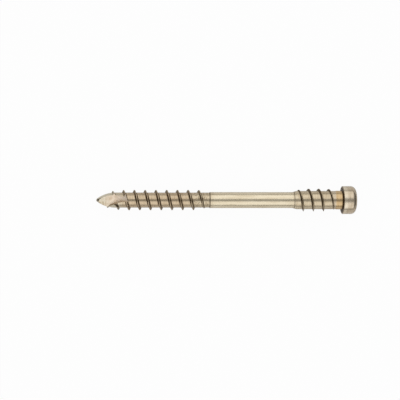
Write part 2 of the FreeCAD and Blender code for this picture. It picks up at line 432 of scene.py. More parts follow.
@dataclass(frozen=True)
class Blank:
    """The screw's turned form, in millimetres along its axis from the point's end.

    Attributes:
        length: Overall length.
        head_radius: Radius of the head.
        head_height: Height of the head.
        corner_radius: Round of the head's top corner.
        edge_round: Small round at the head's lower edge.
        neck_radius: Radius of the plain neck.
        neck_x: Where the upper thread ends and the neck begins.
        neck_round: Small hollow where the neck meets the head.
        upper_core: Radius of the core under the upper thread.
        upper_x: Where the upper core begins.
        step_x: Where the shank widens towards it.
        shank_radius: Radius of the plain shank.
        shank_x: Where the lower core ends.
        lower_core: Radius of the core under the lower thread.
        point_length: Length of the rounded point.
        nose_radius: Radius of the point's round end.
        roll_bevel: Width of the small bevels beside the rolled stretches.
        hollow_shade: How much painted shade the hollow under the head gets at the neck and at the head, from
            0 to 1.
        edge_shade: The same for the first stations of the head's lower edge.
    """

    length: float = 63.5
    head_radius: float = 3.425
    head_height: float = 3.3
    corner_radius: float = 1.2
    edge_round: float = 0.12
    neck_radius: float = 2.29
    neck_x: float = 58.6
    neck_round: float = 0.16
    upper_core: float = 2.24
    upper_x: float = 48.9
    step_x: float = 47.9
    shank_radius: float = 1.95
    shank_x: float = 27.5
    lower_core: float = 1.84
    point_length: float = 4.6
    nose_radius: float = 0.45
    roll_bevel: float = 0.12
    # Painted shade in the hollow under the head and on its lower edge
    hollow_shade: Span = (0.85, 1.0)
    edge_shade: Triple = (0.7, 0.6, 0.35)

    def point_radius(self, x: Array) -> Array:
        """Radius of the rounded point at x.

        The nose is a sphere's end; from it a long arc rises that ends level with the core.

        Args:
            x: Places along the axis.

        Returns:
            The radius at each.
        """
        rise = self.lower_core - self.nose_radius
        run = self.point_length - self.nose_radius
        arc = (run**2 + self.lower_core**2 - self.nose_radius**2) / (2 * rise)
        nose_end = self.nose_radius - self.nose_radius * run / (arc - self.nose_radius)
        long_arc = self.lower_core - arc + np.sqrt(arc**2 - np.clip(self.point_length - x, 0.0, None) ** 2)
        nose = np.sqrt(np.clip(self.nose_radius**2 - (self.nose_radius - x) ** 2, 0.0, None))
        return np.where(x < nose_end, nose, long_arc)

    def core(self, x: Array) -> Array:
        """Radius of the plain form at x, as far as the neck: the point, then straight from corner to corner.

        Args:
            x: Places along the axis.

        Returns:
            The radius at each, without ridges.
        """
        corners = (
            (self.point_length, self.lower_core),
            (self.shank_x, self.lower_core),
            (self.shank_x + self.roll_bevel, self.shank_radius),
            (self.step_x, self.shank_radius),
            (self.upper_x, self.upper_core),
            (self.neck_x, self.upper_core),
            (self.neck_x + self.roll_bevel, self.neck_radius),
        )
        return np.where(x < self.point_length, self.point_radius(x), np.interp(x, *zip(*corners)))

    def nose_outline(self, last_x: float) -> tuple[Array, Array]:
        """Stations from near the pole to the thread's first ring, closer together at the nose.

        Args:
            last_x: Where the thread's first ring is.

        Returns:
            Places along the axis and radii.
        """
        x = last_x * np.linspace(0.0, 1.0, 9)[1:-1] ** 2
        return x, self.point_radius(x)

    def head_outline(self) -> tuple[Array, Array, Array]:
        """Stations along the neck, the head's underside, its side and its rounded corner.

        Returns:
            Places along the axis, radii and how grimy each station is.
        """
        underside = self.length - self.head_height
        quarter = np.linspace(0.0, math.pi / 2, 5)
        hollow_x = underside - self.neck_round + self.neck_round * np.sin(quarter)
        hollow_r = self.neck_radius + self.neck_round * (1 - np.cos(quarter))
        edge_x = underside + self.edge_round * (1 - np.cos(quarter))
        edge_r = self.head_radius - self.edge_round * (1 - np.sin(quarter))
        corner = np.linspace(0.0, math.pi / 2, 17)
        corner_x = self.length - self.corner_radius + self.corner_radius * np.sin(corner)
        corner_r = self.head_radius - self.corner_radius * (1 - np.cos(corner))
        neck_x = np.array([self.neck_x + self.roll_bevel, hollow_x[0] - 0.3])
        neck_r = np.full(2, self.neck_radius)
        x = np.concatenate([neck_x, hollow_x, edge_x, corner_x])
        radius = np.concatenate([neck_r, hollow_r, edge_r, corner_r])
        # Painted shade in the hollow under the head and on its lower edge
        painted_shade = np.zeros_like(x)
        hollow = slice(len(neck_x), len(neck_x) + len(hollow_x))
        painted_shade[hollow] = np.linspace(*self.hollow_shade, len(hollow_x))
        painted_shade[hollow.stop : hollow.stop + len(self.edge_shade)] = self.edge_shade
        return x, radius, painted_shade


@dataclass(frozen=True)
class Recess:
    """The six-lobe recess in the head's top, in millimetres.

    Attributes:
        outer: Radius to the lobes' ends.
        inner: Radius to the hollows between the lobes.
        lobe: Radius of a lobe's own round.
        depth: Depth of the straight walls.
        cone_angle: Full angle of the cone at the bottom, in degrees.
        bevel: Width of the bevel at the mouth beyond the lobes.
        lobes: How many lobes there are.
        floor_round: Small round between the walls and the floor.
        floor_sink: How far the floor falls to the cone's rim.
        cone_rim: Radius of the cone's rim, as a share of the radius to the hollows.
    """

    outer: float = 1.97
    inner: float = 1.425
    lobe: float = 0.305
    depth: float = 2.1
    cone_angle: float = 120.0
    bevel: float = 0.1
    lobes: int = 6
    floor_round: float = 0.06
    floor_sink: float = 0.02
    cone_rim: float = 0.96

    def outline(self, angle: Array) -> Array:
        """Radius of the lobed outline at an angle round the axis.

        Within a lobe it is the far side of the lobe's circle, seen from the axis, and between lobes it is the
        near side of the hollow's circle. The two circles touch where they meet.

        Args:
            angle: Angles round the axis, in radians.

        Returns:
            The radius at each.
        """
        half = math.pi / self.lobes
        centre = self.outer - self.lobe
        reach = 2 * centre * math.cos(half)
        hollow = (self.lobe**2 - centre**2 - self.inner**2 + reach * self.inner) / (
            2 * self.inner - reach - 2 * self.lobe
        )
        hollow_centre = self.inner + hollow
        off = np.abs((angle + half) % (2 * half) - half)
        touch_x = centre + (hollow_centre * math.cos(half) - centre) * self.lobe / (self.lobe + hollow)
        touch_y = hollow_centre * math.sin(half) * self.lobe / (self.lobe + hollow)
        touch = math.atan2(touch_y, touch_x)
        side = half - off
        far = centre * np.cos(off) + np.sqrt(np.clip(self.lobe**2 - (centre * np.sin(off)) ** 2, 0.0, None))
        near = hollow_centre * np.cos(side) - np.sqrt(
            np.clip(hollow**2 - (hollow_centre * np.sin(side)) ** 2, 0.0, None)
        )
        return np.where(off < touch, far, near)

    def add_to(self, shell: Shell, rim: Array, top_x: float) -> None:
        """Close the head's top: mouth bevel, lobed walls, floor and cone.

        Args:
            shell: The mesh that it is added to.
            rim: The ring where the head's corner meets its flat top.
            top_x: Where the top is on the axis.
        """
        walls = self.outline(COLUMN_ANGLES)
        mouth = self.outer + self.bevel
        floor_x = top_x - self.depth
        cone_depth = self.inner / math.tan(math.radians(self.cone_angle / 2))
        cone = self.inner * self.cone_rim
        rings = (
            (top_x, mouth),
            (top_x - (mouth - walls), walls),
            (top_x - self.depth / 2, walls),
            (floor_x + self.floor_round, walls),
            (floor_x, walls - self.floor_round),
            (floor_x - self.floor_sink, np.minimum(walls - 2 * self.floor_round, cone)),
            (floor_x - cone_depth / 2, cone / 2),
        )
        numbers = [rim, *(shell.add_points(x, radius, COLUMN_ANGLES, 0.0) for x, radius in rings)]
        shell.add_rings(np.stack(numbers))
        shell.add_cap(numbers[-1], floor_x - cone_depth, towards_head=True)


@dataclass(frozen=True)
class Flute:
    """The cutting notch at the point, in millimetres and degrees.

    Attributes:
        end: Where its floor leaves the core.
        floor_height: Height of the floor over the axis at the point's end.
        floor_slope: Slope of the floor along the axis.
        floor_tilt: Tilt of the floor across the axis.
        runout_radius: Radius of the floor's run-out.
        wall_radius: Radius of the curved wall.
        wall_x: Where the wall runs level with the axis.
        wall_side: How far to the side it is there.
        core: Radius of the core that it leaves.
        reach: How far to the side the cutter reaches, beyond the crests.
        lead_in: How far before the point the floor starts.
        arc_sweep: How far the run-out's arc turns, well past the crests, in degrees.
    """

    end: float = 7.6
    floor_height: float = 0.62
    floor_slope: float = 4.0
    floor_tilt: float = 20.0
    runout_radius: float = 4.5
    wall_radius: float = 8.0
    wall_x: float = 7.6
    wall_side: float = 0.24
    core: float = 1.84
    reach: float = 3.4
    lead_in: float = 1.5
    arc_sweep: float = 62.0

    def floor(self) -> tuple[Array, Array]:
        """The floor's line in the plane of the axis: a slope, then an arc that starts smoothly.

        The arc touches the slope and goes through the core's surface at the flute's end.

        Returns:
            Places along the axis and heights.
        """
        slope = math.radians(self.floor_slope)
        uphill = np.array((math.cos(slope), math.sin(slope)))
        off_floor = np.array((-math.sin(slope), math.cos(slope)))
        start = np.array((0.0, self.floor_height))
        leave = np.array((self.end, self.core)) - start
        rise = leave @ off_floor
        run = math.sqrt(2 * self.runout_radius * rise - rise**2)
        arc_start = start + uphill * (leave @ uphill - run)
        turn = np.radians(np.linspace(0.0, self.arc_sweep, 40))[:, None]
        arc = arc_start + self.runout_radius * (uphill * np.sin(turn) + off_floor * (1 - np.cos(turn)))
        share = np.linspace(0.0, 1.0, 31)[:-1, None]
        slope_start = start - uphill * self.lead_in
        points = np.concatenate([slope_start + (arc_start - slope_start) * share, arc])
        return points[:, 0], points[:, 1]

    def cutter(self) -> tuple[Array, Array]:
        """The notch's tool: a four-sided section carried along the floor's line.

        Each section has the floor's height below and the wall's circle at its side.

        Returns:
            Vertices in the screw's own axes and four-sided faces.
        """
        x, low = self.floor()
        off = np.clip(self.wall_radius**2 - (x - self.wall_x) ** 2, 0.0, None)
        wall = self.wall_side - self.wall_radius + np.sqrt(off)
        far = np.full_like(x, self.reach)
        high = np.full_like(x, self.reach) + 1.0
        side = np.stack([wall, far, far, wall], axis=1)
        level = np.stack([low, low, high, high], axis=1)
        tilt = math.radians(self.floor_tilt)
        y = side * math.cos(tilt) - level * math.sin(tilt)
        z = side * math.sin(tilt) + level * math.cos(tilt)
        points = np.stack([np.repeat(x[:, None], 4, axis=1), y, z], axis=-1).reshape(-1, 3)
        row = 4 * np.arange(len(x) - 1)[:, None]
        corner = np.arange(4)
        following = (corner + 1) % 4
        quads = np.stack([row + corner, row + following, row + 4 + following, row + 4 + corner], axis=-1)
        last = len(points) - 4
        ends = np.array([[3, 2, 1, 0], [last, last + 1, last + 2, last + 3]])
        return points, np.concatenate([quads.reshape(-1, 4), ends])

    def face_finishes(self, count: int) -> Array:
        """Material index of each of the cutter's faces: every fourth is the wall, but the two ends aren't.

        Args:
            count: How many faces there are.

        Returns:
            The indices.
        """
        index = np.full(count, Finish.CUT.value, dtype=np.int32)
        index[3:-2:4] = Finish.SHEARED.value
        return index


# Where most of a noise's values lie, and how deep the marks in the metal are
NOISE_SPAN = (0.3, 0.7)
MARK_DEPTH = 0.03 * MM


class Nodes:
    """Short ways to build the node tree of one material or of the world."""

    def __init__(self, owner: bpy.types.Material | bpy.types.World) -> None:
        """Start with an empty tree.

        Args:
            owner: What the tree belongs to.
        """
        owner.use_nodes = True
        self.owner = owner
        self.tree = owner.node_tree
        self.tree.nodes.clear()

    def plug(self, socket: Socket, value: Value | Triple) -> None:
        """Link an output to the input socket, or write a number, a vector or a colour into it.

        Args:
            socket: The input.
            value: What goes into it.
        """
        if isinstance(value, Socket):
            self.tree.links.new(value, socket)
        else:
            socket.default_value = (*value, 1.0) if socket.type == "RGBA" else value

    def add(self, kind: str, inputs: Inputs | None = None, **settings: str | bool) -> bpy.types.Node:
        """Add a node.

        Args:
            kind: The node's type name.
            inputs: What goes into its inputs, by name or number.
            **settings: Its other properties.

        Returns:
            The node.
        """
        node = self.tree.nodes.new(kind)
        for name, value in settings.items():
            setattr(node, name, value)
        for key, value in (inputs or {}).items():
            self.plug(node.inputs[key], value)
        return node

    def own_millimetres(self, axis: Axis) -> Socket:
        """Object coordinates turned and moved into the screw's own axes, in millimetres.

        The axis lies turned about Y by its tilt, and the head's top is at its length.

        Args:
            axis: Where the screw lies.

        Returns:
            The coordinates.
        """
        head = axis.mount("pos_m") / MM
        along = axis.direction()
        upward = np.cross(along, (0.0, 1.0, 0.0))
        inputs = {
            "Vector": self.add("ShaderNodeTexCoord").outputs["Object"],
            "Scale": (1 / MM, 1 / MM, 1 / MM),
            "Rotation": (0.0, axis.tilt(), 0.0),
            "Location": (axis.length - head @ along, 0.0, -head @ upward),
        }
        return self.add("ShaderNodeMapping", inputs).outputs["Vector"]

    def stretched(self, vector: Socket, scale: Triple) -> Socket:
        """The vector with each part times its own scale."""
        return self.add("ShaderNodeMapping", {"Vector": vector, "Scale": scale}).outputs["Vector"]

    def split(self, vector: Socket) -> tuple[Socket, ...]:
        """The x, y and z of a vector."""
        return tuple(self.add("ShaderNodeSeparateXYZ", {0: vector}).outputs)

    def ramp(self, value: Socket, low: float, high: float, first: float = 0.0, last: float = 1.0) -> Socket:
        """The value mapped from between low and high to between first and last, and held at both ends."""
        inputs = {"Value": value, "From Min": low, "From Max": high, "To Min": first, "To Max": last}
        return self.add("ShaderNodeMapRange", inputs, clamp=True).outputs["Result"]

    def maths(self, operation: str, first: Value, second: Value = 0.0) -> Socket:
        """What a Math node makes of its values."""
        return self.add("ShaderNodeMath", {0: first, 1: second}, operation=operation).outputs[0]

    def times(self, first: Value, second: Value) -> Socket:
        """The product."""
        return self.maths("MULTIPLY", first, second)

    def greater(self, first: Value, second: Value) -> Socket:
        """The greater of two values."""
        return self.maths("MAXIMUM", first, second)

    def mirrored(self, path: bpy.types.Node) -> Socket:
        """One for the rays by which metal or glass shows something."""
        return self.greater(path.outputs["Is Glossy Ray"], path.outputs["Is Transmission Ray"])

    def band(self, value: Socket, middle: float, half: float, soft: float) -> Socket:
        """One within half of the middle, and falling to zero over the soft width on both sides."""
        off = self.maths("ABSOLUTE", self.maths("SUBTRACT", value, middle))
        return self.ramp(off, half, half + soft, 1.0, 0.0)

    def blend(self, share: Value, first: Socket, second: Colour, how: str = "MIX") -> Socket:
        """Mix a colour with another.

        Args:
            share: How much of the second there is, from 0 to 1.
            first: The colour so far.
            second: The colour at 1, or what the first is multiplied by.
            how: The Mix node's blend type.

        Returns:
            The mixed colour.
        """
        node = self.add("ShaderNodeMix", {0: share}, data_type="RGBA", blend_type=how)
        colours = [socket for socket in node.inputs if socket.type == "RGBA"]
        for socket, value in zip(colours, (first, second)):
            self.plug(socket, value)
        return next(socket for socket in node.outputs if socket.type == "RGBA")

    def zones(self, x: Socket, length: float, stops: list[tuple[float, Colour]]) -> Socket:
        """Colour by the place along the axis, straight between the stops.

        Args:
            x: Place along the axis in millimetres.
            length: The last place.
            stops: Places and colours, in order, the first at 0.

        Returns:
            The colour.
        """
        node = self.add("ShaderNodeValToRGB", {"Fac": self.maths("DIVIDE", x, length)})
        elements = node.color_ramp.elements
        elements[0].color = (*stops[0][1], 1.0)
        elements[1].position = stops[-1][0] / length
        elements[1].color = (*stops[-1][1], 1.0)
        for place, colour in stops[1:-1]:
            elements.new(place / length).color = (*colour, 1.0)
        return node.outputs["Color"]

    def bump(self, height: Socket, strength: float) -> Socket:
        """The normal of a surface with marks of that height."""
        inputs = {"Height": height, "Strength": strength, "Distance": MARK_DEPTH}
        return self.add("ShaderNodeBump", inputs).outputs["Normal"]

    def metal(self, colour: Socket, gloss: Socket, normal: Socket, bright: Value = 1.0) -> bpy.types.Material:
        """Finish the tree as a metal.

        Args:
            colour: Its colour.
            gloss: Its roughness.
            normal: Its normal.
            bright: How far it shines as bare metal does; the rest is matt.

        Returns:
            The material.
        """
        inputs = {"Base Color": colour, "Metallic": bright, "Roughness": gloss, "Normal": normal}
        shader = self.add("ShaderNodeBsdfPrincipled", inputs)
        self.add("ShaderNodeOutputMaterial", {"Surface": shader.outputs["BSDF"]})
        return self.owner


@dataclass(frozen=True)
class Grain:
    """Noise in the metal's colour or gloss.

    Attributes:
        scale: How fine it is, in lumps for each millimetre.
        detail: How many finer layers it has.
        stretch: What each axis is multiplied by: a small number draws the lumps out along it.
        low: Noise up to which a patch has its least strength.
        high: Noise from which a patch has its full strength.
        least: The least strength.
        most: The full strength.
    """

    scale: float
    detail: float = 4.0
    stretch: Triple = (1.0, 1.0, 1.0)
    low: float = 0.42
    high: float = 0.72
    least: float = 0.0
    most: float = 1.0

    def noise(self, nodes: Nodes, own: Socket) -> Socket:
        """The noise at the screw's own coordinates."""
        inputs = {"Vector": nodes.stretched(own, self.stretch), "Scale": self.scale, "Detail": self.detail}
        return nodes.add("ShaderNodeTexNoise", inputs).outputs["Fac"]

    def patches(self, nodes: Nodes, noise: Socket) -> Socket:
        """How strong the patches are where the noise has that value."""
        return nodes.ramp(noise, self.low, self.high, self.least, self.most)


@dataclass(frozen=True)
class Stripe:
    """A stripe round the screw beside one of its edges, in millimetres.

    Attributes:
        offset: Where its middle lies, past the edge.
        half: Half its full width.
        soft: How far it fades out on both sides.
        strength: How strong it is in the middle.
    """

    offset: float
    half: float
    soft: float
    strength: float

    def lay(self, nodes: Nodes, x: Socket, edge: float) -> Socket:
        """Its strength at x, beside the edge at that place."""
        return nodes.times(nodes.band(x, edge + self.offset, self.half, self.soft), self.strength)


@dataclass(frozen=True)
class CutEndShade:
    """Painted shade where the ridge's cut end runs beside the notch, a short slanting dark bar on the upper
    side.

    Attributes:
        slant: How far it turns from the axis, in degrees.
        x: Its middle along the axis, in millimetres.
        y: Its middle to the side.
        half_length: Half its full length.
        half_width: Half its full width.
        soft_end: How far its ends fade out.
        soft_side: How far its sides do.
        level: Heights between which it comes in.
    """

    slant: float = 39.0
    x: float = 4.75
    y: float = -1.12
    half_length: float = 0.8
    half_width: float = 0.15
    soft_end: float = 0.25
    soft_side: float = 0.16
    level: Span = (0.3, 0.6)

    def lay(self, nodes: Nodes, x: Socket, y: Socket, z: Socket) -> Socket:
        """Its strength at a place: the place is turned by the slant, then two bands cross.

        Args:
            nodes: The material's tree.
            x: The place along the axis in millimetres.
            y: The place to the side.
            z: The place upwards.

        Returns:
            The strength.
        """
        cos, sin = math.cos(math.radians(self.slant)), math.sin(math.radians(self.slant))
        along = nodes.maths("SUBTRACT", nodes.times(x, cos), nodes.times(y, sin))
        across = nodes.maths("ADD", nodes.times(x, sin), nodes.times(y, cos))
        ends = nodes.band(along, self.x * cos - self.y * sin, self.half_length, self.soft_end)
        sides = nodes.band(across, self.x * sin + self.y * cos, self.half_width, self.soft_side)
        return nodes.times(nodes.ramp(z, *self.level), nodes.times(ends, sides))


@dataclass(frozen=True)
class PlatedSteel:
    """Champagne zinc plating over rolled steel, whose tone changes from stretch to stretch.

    Attributes:
        nose: Darker colour at the very end of the point, a painted shade.
        point: Colour of the point.
        lower: Colour of the core under the lower thread.
        shank: Colour of the plain shank.
        upper: Colour of the core under the upper thread.
        neck: Amber of the neck, which the rolling dies didn't touch.
        head: Colour of the head.
        rim: Lighter colour of the head's lower rim, a painted highlight.
        top: Darker colour of the head's rounded corner and top, a painted shade.
        painted_shade: Colour of the painted shade on the flanks, in the hollows and under the head, also
            given to the blotches.
        shade: Colour of the deeper painted shade right under the head.
        stain: What the plating is multiplied by in its duller patches.
        gloss: Roughness between the rolling marks and in them.
        shade_gloss: How much rougher the painted shade and the blotches are.
        relief: Strength of the marks' relief.
        specks_relief: How high the specks are beside the marks.
        drawn: Duller patches drawn out along the axis.
        rolled: Fine rolling marks round the screw.
        specks: Specks that thin the painted shade.
        blotches: Where the last turns of the lower thread are blotched.
        plain_margin: How far the shank's smooth middle stays off its ends, in millimetres.
        plain_soft: How far it fades out.
        plain_strength: How smooth it is.
        ring: Painted shade line where the lower core ends.
        step: Painted shade line on the step up to the upper core.
        bitten: The blotched stretch before the lower core's end.
        under: The deeper painted shade under the head.
        under_shade_span: Painted-shade shares between which that deeper shade comes in.
        cut_end_shade: The painted shade beside the notch.
    """

    nose: Colour = (0.55, 0.48, 0.36)
    point: Colour = (0.84, 0.77, 0.61)
    lower: Colour = (0.65, 0.52, 0.36)
    shank: Colour = (0.84, 0.74, 0.55)
    upper: Colour = (0.70, 0.59, 0.42)
    neck: Colour = (0.74, 0.54, 0.30)
    head: Colour = (0.71, 0.605, 0.46)
    rim: Colour = (0.84, 0.74, 0.58)
    top: Colour = (0.46, 0.385, 0.28)
    # Colour of the painted shade, also given to the blotches
    painted_shade: Colour = (0.074, 0.041, 0.013)
    shade: Colour = (0.045, 0.022, 0.006)
    stain: Colour = (0.79, 0.75, 0.69)
    gloss: Span = (0.23, 0.29)
    shade_gloss: float = 0.2
    relief: float = 0.22
    specks_relief: float = 0.2
    drawn: Grain = Grain(1.6, stretch=(0.12, 1.0, 1.0), most=0.75)
    rolled: Grain = Grain(4.5, stretch=(1.0, 0.12, 0.12), low=0.45, high=0.68, most=0.8)
    specks: Grain = Grain(7.0, detail=3.0, low=0.3, high=0.65, least=0.72)
    blotches: Grain = Grain(2.4, detail=3.0, low=0.5, high=0.62)
    plain_margin: float = 1.5
    plain_soft: float = 2.0
    plain_strength: float = 0.85
    # Painted shade lines at the shank's two steps
    ring: Stripe = Stripe(0.06, 0.06, 0.1, 0.9)
    step: Stripe = Stripe(0.36, 0.04, 0.1, 0.65)
    bitten: Stripe = Stripe(-2.2, 1.6, 0.7, 0.45)
    under: Stripe = Stripe(-0.12, 0.14, 0.1, 0.85)
    under_shade_span: Span = (0.7, 0.84)
    # Painted shade of the ridge's cut end beside the notch
    cut_end_shade: CutEndShade = CutEndShade()

    def stops(self, blank: Blank) -> list[tuple[float, Colour]]:
        """Where the tone changes.

        Args:
            blank: The screw's turned form.

        Returns:
            Places along the axis in millimetres and the colour at each.
        """
        underside = blank.length - blank.head_height
        return [
            # The darker nose is a painted shade
            (0.0, self.nose),
            (0.15, self.nose),
            (0.45, self.point),
            (4.0, self.point),
            (7.0, self.lower),
            (blank.shank_x - 6.0, self.lower),
            (blank.shank_x - 3.0, self.upper),
            (blank.shank_x - 0.2, self.upper),
            (blank.shank_x + 1.2, self.shank),
            (blank.step_x - 0.5, self.shank),
            (blank.upper_x + 0.8, self.upper),
            (blank.neck_x - 1.4, self.upper),
            (blank.neck_x - 0.3, self.head),
            (blank.neck_x - 0.1, self.neck),
            (underside - 0.1, self.neck),
            # The lighter rim is a painted highlight
            (underside, self.rim),
            (underside + 0.5, self.rim),
            (underside + 1.1, self.head),
            (blank.length - 0.75, self.head),
            # The darker corner and top are a painted shade
            (blank.length - 0.4, self.top),
            (blank.length, self.top),
        ]

    def worked(self, nodes: Nodes, x: Socket, blank: Blank) -> Socket:
        """How far the surface is worked rough: one less what the smooth middle of the shank takes.

        Args:
            nodes: The material's tree.
            x: Place along the axis in millimetres.
            blank: The screw's turned form.

        Returns:
            The share, from 0 to 1.
        """
        half = (blank.step_x - blank.shank_x) / 2 - self.plain_margin
        plain = nodes.band(x, (blank.shank_x + blank.step_x) / 2, half, self.plain_soft)
        return nodes.maths("SUBTRACT", 1.0, nodes.times(plain, self.plain_strength))

    def make(self, axis: Axis, blank: Blank) -> bpy.types.Material:
        """Build the material: zones, duller patches, blotches and painted shade, with fine rolling marks as
        bump.

        Args:
            axis: Where the screw lies.
            blank: Its turned form, for the zones' places.

        Returns:
            The material.
        """
        nodes = Nodes(bpy.data.materials.new("champagne_plating"))
        own = nodes.own_millimetres(axis)
        x, y, z = nodes.split(own)
        # The flank attribute carries each vertex's share of painted shade
        flank = nodes.add("ShaderNodeAttribute", attribute_name="flank").outputs["Fac"]
        rolled = self.rolled.noise(nodes, own)
        specks = self.specks.noise(nodes, own)
        worked = self.worked(nodes, x, blank)

        colour = nodes.zones(x, blank.length, self.stops(blank))
        drawn = self.drawn.patches(nodes, self.drawn.noise(nodes, own))
        for marks in (drawn, nodes.times(self.rolled.patches(nodes, rolled), worked)):
            colour = nodes.blend(marks, colour, self.stain, "MULTIPLY")

        # Painted shade on the flanks, in the hollows, at the steps and beside the notch, with the real
        # blotches before the lower core's end
        blotches = self.blotches.patches(nodes, self.blotches.noise(nodes, own))
        shade_and_blotches = nodes.times(flank, self.specks.patches(nodes, specks))
        for mark in (
            self.ring.lay(nodes, x, blank.shank_x),
            self.step.lay(nodes, x, blank.step_x),
            nodes.times(self.bitten.lay(nodes, x, blank.shank_x), blotches),
            self.cut_end_shade.lay(nodes, x, y, z),
        ):
            shade_and_blotches = nodes.greater(shade_and_blotches, mark)
        colour = nodes.blend(shade_and_blotches, colour, self.painted_shade)
        # Deeper painted shade right under the head
        under = self.under.lay(nodes, x, blank.length - blank.head_height)
        colour = nodes.blend(nodes.times(under, nodes.ramp(flank, *self.under_shade_span)), colour, self.shade)

        gloss = nodes.ramp(rolled, *NOISE_SPAN, *self.gloss)
        gloss = nodes.maths("ADD", gloss, nodes.times(shade_and_blotches, self.shade_gloss))
        height = nodes.times(nodes.maths("ADD", rolled, nodes.times(specks, self.specks_relief)), worked)
        return nodes.metal(colour, gloss, nodes.bump(height, self.relief))


@dataclass(frozen=True)
class CutSteel:
    """The notch's cut faces, which took the plating brighter and pinker.

    Attributes:
        front: Colour towards the point.
        back: Colour towards the notch's end.
        stain: What the colour is multiplied by in duller patches.
        gloss: Roughness between the scratches and in them.
        relief: Strength of the scratches' relief.
        scratches: Scratches across the cut.
        dulled: Duller patches.
        chatter: Distance between the cutter's marks at the point, in millimetres.
        chatter_x: Where the marks fade out along the axis.
        chatter_y: Where they fade out to the side.
        chatter_wave: Sine between which a mark comes in.
        chatter_depth: How deep the marks are beside the scratches.
        torn: How far the metal still shines at the notch's end, where it is torn.
        torn_x: Where the shine falls off along the axis.
        name: The material's name.
    """

    front: Colour = (0.84, 0.76, 0.60)
    back: Colour = (0.94, 0.79, 0.63)
    stain: Colour = (0.74, 0.66, 0.56)
    gloss: Span = (0.34, 0.48)
    relief: float = 0.6
    scratches: Grain = Grain(5.0, stretch=(1.0, 0.2, 0.2))
    dulled: Grain = Grain(1.4, high=0.7, most=0.7)
    chatter: float = 0.72
    chatter_x: Span = (2.0, 2.6)
    chatter_y: Span = (-0.55, -0.1)
    chatter_wave: Span = (0.2, 0.9)
    chatter_depth: float = 0.8
    torn: float = 0.2
    torn_x: Span = (4.0, 5.6)
    name: str = "cut_plating"

    def make(self, axis: Axis, blank: Blank) -> bpy.types.Material:
        """Build the material: two tones, scratches across, and a few cutter marks at the point's lower edge.

        Args:
            axis: Where the screw lies.
            blank: The screw's turned form.

        Returns:
            The material.
        """
        nodes = Nodes(bpy.data.materials.new(self.name))
        own = nodes.own_millimetres(axis)
        x, y, _ = nodes.split(own)
        scratches = self.scratches.noise(nodes, own)
        dulled = self.dulled.patches(nodes, self.dulled.noise(nodes, own))
        stops = [(0.0, self.front), (1.6, self.front), (4.0, self.back), (9.0, self.back)]
        colour = nodes.zones(x, blank.length, stops)

        wave = nodes.maths("SINE", nodes.times(x, FULL_TURN / self.chatter))
        edge = nodes.times(nodes.ramp(y, *self.chatter_y, 1.0, 0.0), nodes.ramp(x, *self.chatter_x, 1.0, 0.0))
        marks = nodes.times(nodes.ramp(wave, *self.chatter_wave), edge)
        for share in (dulled, marks):
            colour = nodes.blend(share, colour, self.stain, "MULTIPLY")

        gloss = nodes.ramp(scratches, *NOISE_SPAN, *self.gloss)
        height = nodes.maths("SUBTRACT", scratches, nodes.times(marks, self.chatter_depth))
        bright = nodes.ramp(x, *self.torn_x, 1.0, self.torn)
        return nodes.metal(colour, gloss, nodes.bump(height, self.relief), bright)


